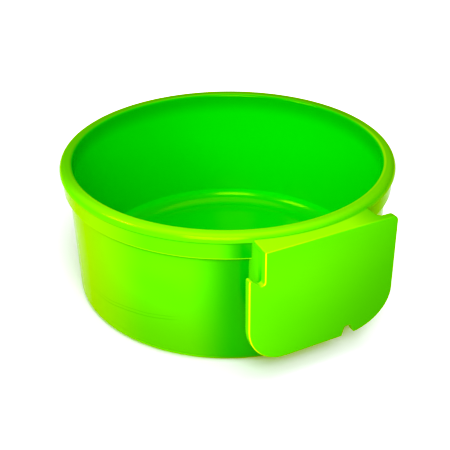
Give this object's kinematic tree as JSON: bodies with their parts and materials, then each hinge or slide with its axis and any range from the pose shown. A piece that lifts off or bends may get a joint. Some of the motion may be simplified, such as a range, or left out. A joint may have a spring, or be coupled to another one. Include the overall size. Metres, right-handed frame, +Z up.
{
  "type": "hang-on feed bowl",
  "caption": "Round hang-on feed bowl for a calf hutch or pen, with a thick lip and a shelf-and-plate hanger on one side.",
  "frame": {"origin": "on the bowl's axis, at the underside that it stands on", "axes": "+Z up along the bowl's axis, -Y out of the hanger plate's face, +X to the right seen from the front of the plate"},
  "size_m": [0.28, 0.2924, 0.1194],
  "materials": {
    "bowl_plastic": "moulded lime green, semi-gloss",
    "rim_plastic": "moulded lime green, polished by handling",
    "hanger_plastic": "moulded lime green, semi-gloss"
  },
  "bodies": {
    "root": {"bowl_floor": "bowl_plastic", "bowl_wall": "bowl_plastic", "rim_lip": "rim_plastic", "rim_band": "rim_plastic", "hanger_shelf": "hanger_plastic", "hanger_plate": "hanger_plastic", "hanger_cheek_left": "hanger_plastic", "hanger_cheek_right": "hanger_plastic"}
  },
  "joints": []
}
